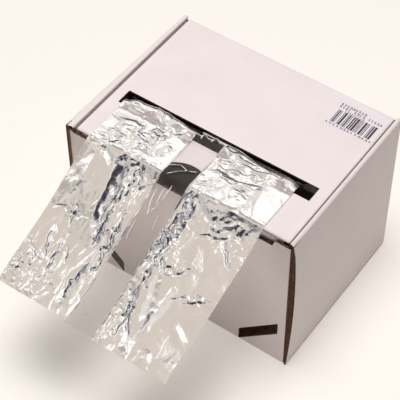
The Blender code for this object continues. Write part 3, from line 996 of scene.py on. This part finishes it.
def crease(x, s, points, depth, width):
    """A sharp fold line: a V along a chain of (x, s) points, below the sheet if depth is positive."""
    near = np.full(x.shape, np.inf)
    fade = np.zeros_like(x)
    total = len(points) - 1
    for index, ((ax, as_), (bx, bs)) in enumerate(zip(points, points[1:])):
        run = np.array([bx - ax, bs - as_])
        share = np.clip(((x - ax) * run[0] + (s - as_) * run[1]) / (run @ run), 0, 1)
        away = np.hypot(x - ax - share * run[0], s - as_ - share * run[1])
        closer = away < near
        near = np.where(closer, away, near)
        fade = np.where(closer, (index + share) / total, fade)
    strength = np.sin(np.pi * np.clip(fade * 0.96 + 0.02, 0, 1)) ** 0.5
    return -depth * strength * np.clip(1 - near / width, 0, None) ** 1.3


def patch(x, s, spots):
    """How much a place belongs to a set of soft oval spots, from 0 to 1."""
    total = np.zeros_like(x)
    for middle_x, middle_s, half_x, half_s, weight in spots:
        away = ((x - middle_x) / half_x) ** 2 + ((s - middle_s) / half_s) ** 2
        total = np.maximum(total, weight * np.exp(-away ** 2))
    return total


# Spots and folds: x across the web, s along it from the lid's front edge, in millimetres.
BROKEN = (
    (-36, -20, 13, 11, 1.0), (-22, -14, 9, 15, 1.0), (-50, -8, 16, 7, 0.75), (-60, 0, 9, 8, 0.7),
    (-30, 2, 14, 9, 0.9), (-60, 92, 13, 18, 0.85), (-46, 96, 14, 14, 0.6), (30, -16, 34, 8, 0.2),
    (14, -12, 9, 12, 0.5), (44, -4, 20, 8, 0.15), (38, 14, 26, 12, 0.42), (56, 22, 8, 12, 0.45),
    (26, 44, 14, 7, 0.4), (-50, 44, 16, 4, 0.3), (14, 30, 8, 24, 0.9), (12, 84, 6, 26, 0.6),
    (48, 60, 14, 5, 0.3), (20, -26, 22, 6, 0.2), (-42, -33, 12, 5, 0.15),
)
STREAKED = (
    (-25, 20, 8, 30, 1.0), (-23, 64, 8, 36, 0.9), (-20, 98, 6, 14, 0.6), (-36, 82, 12, 26, 0.45),
    (11, 26, 6, 34, 1.0), (12, 70, 6, 34, 0.6), (-53, 62, 12, 30, 0.30), (-40, 30, 6, 26, 0.5),
    (18, 30, 8, 26, 0.5),
)
FOLDS = (
    (((-66, 1), (-54, 4), (-45, 8)), 1.1, 3.4),
    (((-39.5, 4), (-37.5, 12), (-35.2, 25), (-35, 37), (-31, 49)), 5.0, 5.2),
    (((-33.5, 10), (-32, 24), (-32, 38), (-30, 50)), -1.6, 3.0),
    (((-29.5, -3), (-27.5, 12), (-25.5, 26)), 1.3, 1.6),
    (((-27, -6), (-24, 8), (-22, 20)), 1.0, 1.6),
    (((-24.5, 46), (-27, 60)), 1.2, 1.8),
    (((-28.5, 38), (-28.4, 60)), 1.5, 1.7),
    (((-23.5, 70), (-25.5, 95)), 1.6, 2.2),
    (((-20, 30), (-19, 55), (-18, 74)), 1.1, 1.6),
    (((-41, 68), (-38.2, 77)), 0.9, 1.3),
    (((-54, 40), (-49.5, 46), (-50.5, 56)), 0.8, 1.6),
    (((-56.5, 58), (-55, 70), (-49, 82)), -0.8, 2.2),
    (((-68, 48), (-52, 47), (-38, 45)), 0.5, 2.0),
    (((-66, 74), (-60, 78), (-53.5, 81)), 0.7, 1.6),
    (((-58, 8), (-57, 22), (-60, 38)), -0.6, 5.0),
    (((-47, 60), (-45, 76), (-44, 92)), 0.8, 1.8),
    (((10.0, 2), (12.2, 16), (10.5, 28), (8.6, 40), (6.9, 54)), 2.3, 2.6),
    (((15.5, 6), (15.2, 22), (13.0, 40)), -1.5, 2.4),
    (((13.7, 42), (14.6, 64), (15.8, 84), (15.2, 98)), 1.3, 1.6),
    (((12.5, -1), (20, 7), (28, 10.5), (40, 11), (54, 11.5)), 0.75, 4.2),
    (((27, 23), (35, 20), (42.5, 18), (49, 12)), 0.6, 2.2),
    (((32, 14), (42, 9), (54, 4)), -0.8, 3.4),
    (((43, 18), (50.5, 25.5), (57, 31)), 0.8, 2.0),
    (((14.5, 43), (21, 50), (29, 50), (36, 44)), 0.9, 2.8),
    (((34, 62), (46, 58), (59, 53)), -0.5, 2.4),
    (((19, 50), (24, 68), (29.5, 90)), 0.8, 4.0),
    (((33, 56), (32, 74), (29.5, 92)), -0.9, 4.6),
    (((10, 70), (20, 90), (30.5, 106)), 1.0, 3.4),
    (((36, 100), (46, 101)), -0.4, 3.6),
    (((46, 76), (56, 84)), -0.6, 4.0),
)
FILM_FOLDS = (
    (((-13, -8), (-7, -11), (1, -9)), -1.4, 1.1), (((-10, -1), (-4, -7), (4, -12)), -1.7, 1.3),
    (((-6, -3), (-1, -4), (4, -2)), 1.0, 1.0),
    (((-11, 5), (-9.5, 18), (-6.5, 25), (-3.5, 18), (-3, 4)), -2.9, 2.3),
    (((-8.5, 3), (-8, 15), (-6, 20), (-4.8, 14), (-4.6, 2)), 1.8, 1.5),
    (((-1, 20), (0.5, 30), (3, 38)), -1.0, 1.1), (((-11.5, 30), (-11, 42), (-9, 48)), -1.2, 1.3),
    (((-6, 62), (-4, 66)), -1.0, 1.1), (((-12, 90), (-6, 97), (3, 98)), -1.4, 1.5),
    (((-10, -50), (-8.5, -42), (-7.5, -35)), -2.7, 2.5), (((0, -50), (-0.5, -43), (-1, -37)), -2.4, 2.3),
)
LID_FOLDS = (
    (((-49, -47), (-43.5, -41), (-40.5, -36), (-37, -31)), -0.9, 2.6),
    (((-67, -24), (-56, -22), (-45, -24)), -0.5, 3.0),
    (((-66, -14), (-54, -13), (-44, -17)), 0.4, 2.6),
    (((6, -38), (22, -36), (40, -39)), -0.7, 2.2),
    (((8, -31), (26, -32), (52, -38)), -0.7, 2.6),
    (((12, -25), (30, -27), (50, -32)), -0.6, 2.0),
    (((10, -19), (30, -20), (48, -26)), -0.5, 2.2),
    (((-40, -30), (-30, -24), (-24, -26)), -0.6, 1.8),
    (((-34, -34), (-24, -31), (-16, -34)), -0.6, 1.8),
)


# Crumple in layers: its share everywhere, in broken spots and in streaked spots, then the
# facets' cell, slope, seed and stretch along the web.
CRUMPLE = (
    (1.00, 0.0, 0.0, 0.0240, 0.034, 21, 1.6),
    (0.22, 0.8, 0.0, 0.0085, 0.075, 22, 1.2),
    (0.08, 1.0, 0.0, 0.0040, 0.110, 23, 1.0),
    (0.04, 1.0, 0.0, 0.0021, 0.130, 24, 1.0),
    (0.00, 0.0, 1.0, 0.0038, 0.150, 25, 4.5),
    (0.00, 0.0, 1.0, 0.0019, 0.110, 26, 3.5),
)


WARP, WARP_CELL = 0.0009, 0.015
WANDER_CELL = 0.009
SWELL, SWELL_CELL = 0.0008, 0.060
LID_CLEAR = 0.0002
SAG, SAG_LEFT_TO_RIGHT = 0.0022, 0.0040
SLACK, SLACK_CELL = 0.0004, 0.020


def web_height(x, s):
    """How far the web stands off its smooth path, at x across and s along it."""
    mm_x, mm_s = 1000 * x, 1000 * (s - BEND)
    warp_x = x + WARP * waves(x, s, WARP_CELL, 3)
    warp_s = s + WARP * waves(x, s, WARP_CELL, 4)
    wander_x, wander_s = waves(x, s, WANDER_CELL, 5), waves(x, s, WANDER_CELL, 6)
    past = step_up(mm_s, -4, 5)
    window = step_up(mm_x, 1000 * WINDOW_LEFT - 1.2, 1000 * WINDOW_LEFT + 0.8) * (
        1 - step_up(mm_x, 1000 * WINDOW_RIGHT - 0.8, 1000 * WINDOW_RIGHT + 1.2))
    foil = 1 - 0.92 * window
    broken = patch(mm_x, mm_s, BROKEN)
    streaked = patch(mm_x, mm_s, STREAKED)
    height = np.zeros_like(x)
    for everywhere, in_broken, in_streaked, cell, slope, seed, stretch in CRUMPLE:
        share = everywhere + in_broken * broken + in_streaked * streaked
        height += foil * share * facets(warp_x, warp_s, cell, slope, seed, stretch)
    height += foil * past * SWELL * waves(x, s, SWELL_CELL, 9)
    height += foil * (1 - past) * facets(warp_x, warp_s, 0.013, 0.060, 27, 1.3)
    for fold_lines, share in ((FOLDS, past), (LID_FOLDS, 1 - past)):
        for points, depth, width in fold_lines:
            stray = 0.8 if width < 4 else 0.25
            folded = crease(mm_x + stray * wander_x, mm_s + stray * wander_s, points, depth, width)
            height += 0.001 * folded * share * foil
    for points, depth, width in FILM_FOLDS:
        height += 0.001 * window * crease(mm_x, mm_s, points, depth, width)
    # The free end sags a little, and less on the right than on the left.
    hang = step_up(mm_s, 20, 108)
    height += hang * (SAG_LEFT_TO_RIGHT * (x - WEB_LEFT) / (WEB_RIGHT - WEB_LEFT) - SAG)
    # The film is tight on the lid and slack beyond it.
    slack = SLACK * waves(x, s, SLACK_CELL, 31) + facets(warp_x, warp_s, 0.011, 0.050, 33, 2.2)
    height += window * slack * (0.20 + 0.80 * past)
    return (1 - past) * np.maximum(height + LID_CLEAR, 0) + past * height


SLOT_END = 0.012
SLOT_STRAY, SLOT_STRAY_CELL = 0.0011, 0.045
CORNER_DIP, CORNER_WIDTH = 0.0030, 0.004


def web_surface(x, s):
    """The web's points for x across it and s along it, both as arrays."""
    height = web_height(x, s)
    start = 1 - step_up(s, 0.0005, 0.006)
    height = height * (1 - 0.85 * start)
    y = np.interp(s, PATH_LENGTH, PATH[:, 0])
    z = np.interp(s, PATH_LENGTH, PATH[:, 1])
    up_y = np.interp(s, PATH_LENGTH, PATH_UP[:, 0])
    up_z = np.interp(s, PATH_LENGTH, PATH_UP[:, 1])
    # At the slot the web's edge wanders, and its outer corners dip into the carton.
    in_slot = 1 - step_up(s, 0.001, SLOT_END)
    y = y - in_slot * SLOT_STRAY * (1 + waves(x, 0 * x, SLOT_STRAY_CELL, 12))
    corner = np.exp(-(np.minimum(x - WEB_LEFT, WEB_RIGHT - x) / CORNER_WIDTH) ** 2)
    z = z - in_slot * CORNER_DIP * corner
    return np.stack([x, y + up_y * height, z + up_z * height], axis=-1)


def foil_finish(name, roughness):
    """Bright aluminium foil: a mirror with a rolled grain and fine crinkles."""
    material, nodes, links, shader = new_finish(name, roughness, metallic=1.0)
    tone = noise_field(nodes, links, 60, 2)
    mottle(nodes, links, shader, tone, [(0.3, (0.90, 0.895, 0.895)), (0.7, (0.95, 0.95, 0.955))])
    crinkle = noise_field(nodes, links, 260, 5)
    first = add_bump(nodes, links, shader, crinkle, 0.30, 0.0006)
    grain = noise_field(nodes, links, 2600, 2, (1, 0.06, 0.06))
    add_bump(nodes, links, shader, grain, 0.10, 0.0002, under=first)
    return material


def film_finish():
    """Clear polypropylene film, mostly see-through: its colour is painted reflection, a beige glare
    face-on turning to a painted white highlight at a glancing angle, where it also grows opaque.
    """
    material, nodes, links, shader = new_finish("clear_film", 0.07, specular=1.0)
    facing = nodes.new("ShaderNodeLayerWeight")
    facing.inputs["Blend"].default_value = 0.35
    # Painted reflection and highlight: beige face-on, white at a glancing angle.
    mottle(nodes, links, shader, facing.outputs["Facing"], [
        (0.22, (0.27, 0.235, 0.205)), (0.44, (0.97, 0.96, 0.95)),
    ])
    # The film grows opaque at a glancing angle, so that the painted highlight shows.
    cover = nodes.new("ShaderNodeMapRange")
    cover.inputs["From Min"].default_value = 0.22
    cover.inputs["From Max"].default_value = 0.62
    cover.inputs["To Min"].default_value = 0.085
    cover.inputs["To Max"].default_value = 0.95
    links.new(facing.outputs["Facing"], cover.inputs["Value"])
    links.new(cover.outputs["Result"], shader.inputs["Alpha"])
    add_bump(nodes, links, shader, noise_field(nodes, links, 220, 3, (1, 0.35, 0.35)), 0.25, 0.0006)
    return material


FOIL = foil_finish("crumpled_foil", 0.16)
FILM = film_finish()
TOOTH_PITCH = 0.0018
TOOTH_DEPTH = 0.00035
TOOTH_REACH = 0.0011
TOOTH_LIFT = 0.00022
SEAL = 0.0012
FILM_LIFT = 0.00009


def band_grid(name, left, right, length, spacing):
    """A fine grid for one band, and its points' places across and along it."""
    bpy.ops.mesh.primitive_grid_add(
        x_subdivisions=round((right - left) / spacing), y_subdivisions=round(length / spacing), size=1
    )
    sheet = bpy.context.object
    sheet.name = name
    flat = mesh_points(sheet) + 0.5
    return sheet, left + flat[:, 0] * (right - left), flat[:, 1] * length


def finish_band(sheet, points, material, degrees):
    set_points(sheet, points)
    sheet.data.materials.append(material)
    if sheet.data.polygons[0].normal.z < 0:
        sheet.data.flip_normals()
    solidify(sheet, FOIL_THICKNESS, 0)
    finish_mesh(sheet)
    smooth_rounds(sheet, degrees)


def web_sheet(name, left, right, length, toothed, lift, material):
    """One band of the web as a fine grid laid on the web's surface."""
    sheet, x, s = band_grid(name, left, right, length, SPACING)
    tooth = np.abs((s / TOOTH_PITCH) % 1 - 0.5) * 2
    if toothed:
        outer = left if toothed < 0 else right
        edge = np.clip(1 - np.abs(x - outer) / TOOTH_REACH, 0, 1)
        x = x - toothed * TOOTH_DEPTH * edge * tooth
    points = web_surface(x, s)
    if toothed:
        points[:, 2] += TOOTH_LIFT * edge * (tooth - 0.3)
    points[:, 2] += lift
    finish_band(sheet, points, material, 50)
    return sheet


END_LEFT = STRIP_LENGTH - 0.0025
END_WINDOW = STRIP_LENGTH - 0.0012
END_RIGHT = STRIP_LENGTH - 0.0002
for band, left, right, toothed, end, lift, material, slot in (
    ("left_foil", WEB_LEFT, WINDOW_LEFT, -1, END_LEFT, 0.0, FOIL, "foil"),
    ("window_film", WINDOW_LEFT - SEAL, WINDOW_RIGHT + SEAL, 0, END_WINDOW, FILM_LIFT, FILM, "clear_film"),
    ("right_foil", WINDOW_RIGHT, WEB_RIGHT, 1, END_RIGHT, 0.0, FOIL, "foil"),
):
    strip = web_sheet(f"{band}_strip", left, right, end, toothed, lift, material)
    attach(strip, "lid")
    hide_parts(f"strip_{band}")


# The stretch inside: straight from the roll to the slot, a little slack.
INNER_CLEAR = 0.0002
INNER_SPACING = 0.0009
web_top = np.array(PATH[0])
centre = np.array([ROLL_Y, ROLL_Z])
reach = web_top - centre
skin_radius = ROLL_RADIUS + INNER_CLEAR
angle = math.atan2(reach[1], reach[0]) - math.acos(skin_radius / np.linalg.norm(reach))
tangent = centre + skin_radius * np.array([math.cos(angle), math.sin(angle)])
INNER_LENGTH = float(np.linalg.norm(web_top - tangent))
for band, left, right, material, slot in (
    ("left_foil", WEB_LEFT, WINDOW_LEFT, FOIL, "foil"),
    ("window_film", WINDOW_LEFT, WINDOW_RIGHT, FILM, "clear_film"),
    ("right_foil", WINDOW_RIGHT, WEB_RIGHT, FOIL, "foil"),
):
    inner, x, s = band_grid(f"{band}_inner_web", left, right, INNER_LENGTH, INNER_SPACING)
    share = s / INNER_LENGTH
    ripple = facets(x, s, 0.012, 0.05, 41, 1.6) + facets(x, s, 0.005, 0.04, 42)
    ripple *= np.sin(np.pi * np.clip(share, 0, 1)) ** 0.5
    line = tangent[None, :] + share[:, None] * (web_top - tangent)[None, :]
    across = np.array([-(web_top - tangent)[1], (web_top - tangent)[0]]) / INNER_LENGTH
    placed = np.stack([x, line[:, 0] + across[0] * ripple, line[:, 1] + across[1] * ripple], axis=1)
    finish_band(inner, placed, material, 40)
    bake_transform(inner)
    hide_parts(f"inner_{band}")


# ---------------------------------------------------------------------------------------
# The roll
# The rest of the web is wound on a cardboard core. It lies loose on the floor and turns.
# ---------------------------------------------------------------------------------------

wound_foil = foil_finish("wound_foil", 0.24)
wound_film = mottled_finish(
    "wound_film", 0.12, 0.6, 300, [(0.3, (0.50, 0.50, 0.49)), (0.7, (0.72, 0.72, 0.70))],
    detail=3, stretch=(3, 1, 1),
)
core_board = kraft_liner("core_board", (0.26, 0.18, 0.12), (0.38, 0.28, 0.20))
for node, material in (
    ("wound_left_foil", wound_foil),
    ("wound_right_foil", wound_foil),
    ("wound_window_film", wound_film),
    ("core_tube", core_board),
):
    refinish(node, material)


# ---------------------------------------------------------------------------------------
# Floor and light
# A pale table under a large soft light from above, with weaker cards around.
# ---------------------------------------------------------------------------------------

TABLE_SIZE = 6
LAMP_SIZE = 1.1
LAMP_POWER = 51
LAMP_PLACE = (-0.05, -0.05, 2.20)
LAMP_AIM = Vector((0, 0, 0.05))

bpy.ops.mesh.primitive_plane_add(size=TABLE_SIZE, location=(0, 0, -HAIR))
table = bpy.context.object
table.name = "table"
table_finish, _, _, table_shader = new_finish("table", 0.85, specular=0.1)
table_shader.inputs["Base Color"].default_value = (0.60, 0.575, 0.545, 1)
table_shader.inputs["Emission Color"].default_value = (1.0, 0.93, 0.86, 1)
table_shader.inputs["Emission Strength"].default_value = 0.39
table.data.materials.append(table_finish)


light = bpy.data.lights.new("overhead", "AREA")
light.shape = "RECTANGLE"
light.size, light.size_y = LAMP_SIZE, LAMP_SIZE
light.energy = LAMP_POWER
light.color = (1.0, 0.99, 0.985)
overhead = bpy.data.objects.new("overhead", light)
overhead.location = LAMP_PLACE
overhead.rotation_euler = (LAMP_AIM - overhead.location).to_track_quat("-Z", "Y").to_euler()
overhead.visible_glossy = False
bpy.context.scene.collection.objects.link(overhead)

# What the foil mirrors: soft cards around the table, each given by its way, core, edge and colour.
CARDS = (
    ((0.50, 0.72, 0.48), 18, 32, (0.80, 0.76, 0.72)),
    ((0.90, 0.35, 0.26), 14, 26, (0.62, 0.59, 0.57)),
    ((0.65, -0.70, 0.30), 18, 32, (0.66, 0.63, 0.61)),
    ((-0.65, -0.70, 0.30), 16, 28, (0.60, 0.57, 0.55)),
    ((-0.37, 0.10, 0.92), 38, 52, (0.84, 0.79, 0.73)),
    ((-0.37, 0.46, 0.81), 5, 11, (1.45, 1.41, 1.35)),
    ((-0.10, 0.00, 0.99), 6, 12, (1.60, 1.58, 1.54)),
    ((-0.70, -0.10, 0.71), 5, 11, (1.60, 1.58, 1.54)),
    ((-0.37, -0.22, 0.89), 11, 20, (0.70, 0.62, 0.545)),
    ((-0.37, 0.24, 0.89), 7, 14, (0.44, 0.365, 0.345)),
    ((-0.05, -0.75, 0.65), 10, 20, (0.03, 0.03, 0.04)),
    ((0.15, 0.35, 0.92), 7, 13, (0.28, 0.29, 0.38)),
    ((-0.80, 0.05, 0.60), 7, 13, (0.22, 0.22, 0.30)),
    ((-0.62, -0.45, 0.64), 6, 12, (0.45, 0.40, 0.36)),
    ((0.76, 0.08, 0.64), 15, 29, (0.045, 0.045, 0.055)),
)
world = bpy.data.worlds.new("studio")
bpy.context.scene.world = world
world.use_nodes = True
sky, sky_links = world.node_tree.nodes, world.node_tree.links
view_way = sky.new("ShaderNodeTexCoord")
level = sky.new("ShaderNodeSeparateXYZ")
sky_links.new(view_way.outputs["Generated"], level.inputs["Vector"])
painted = color_ramp(sky, sky_links, level.outputs["Z"], [
    (0.08, (0.05, 0.045, 0.045)), (0.42, (0.13, 0.13, 0.165)), (0.95, (0.30, 0.30, 0.375)),
])
for way, core, edge, color in CARDS:
    toward = sky.new("ShaderNodeVectorMath")
    toward.operation = "DOT_PRODUCT"
    toward.inputs[1].default_value = Vector(way).normalized()
    sky_links.new(view_way.outputs["Generated"], toward.inputs[0])
    share = sky.new("ShaderNodeMapRange")
    share.interpolation_type = "SMOOTHSTEP"
    share.inputs["From Min"].default_value = math.cos(math.radians(edge))
    share.inputs["From Max"].default_value = math.cos(math.radians(core))
    sky_links.new(toward.outputs["Value"], share.inputs["Value"])
    mix = sky.new("ShaderNodeMix")
    mix.data_type = "RGBA"
    mix.inputs["B"].default_value = (*color, 1)
    sky_links.new(share.outputs["Result"], mix.inputs["Factor"])
    sky_links.new(painted, mix.inputs["A"])
    painted = mix.outputs["Result"]
sky_links.new(painted, sky["Background"].inputs["Color"])
world.cycles_visibility.diffuse = False
bpy.context.scene.view_settings.view_transform = "Standard"
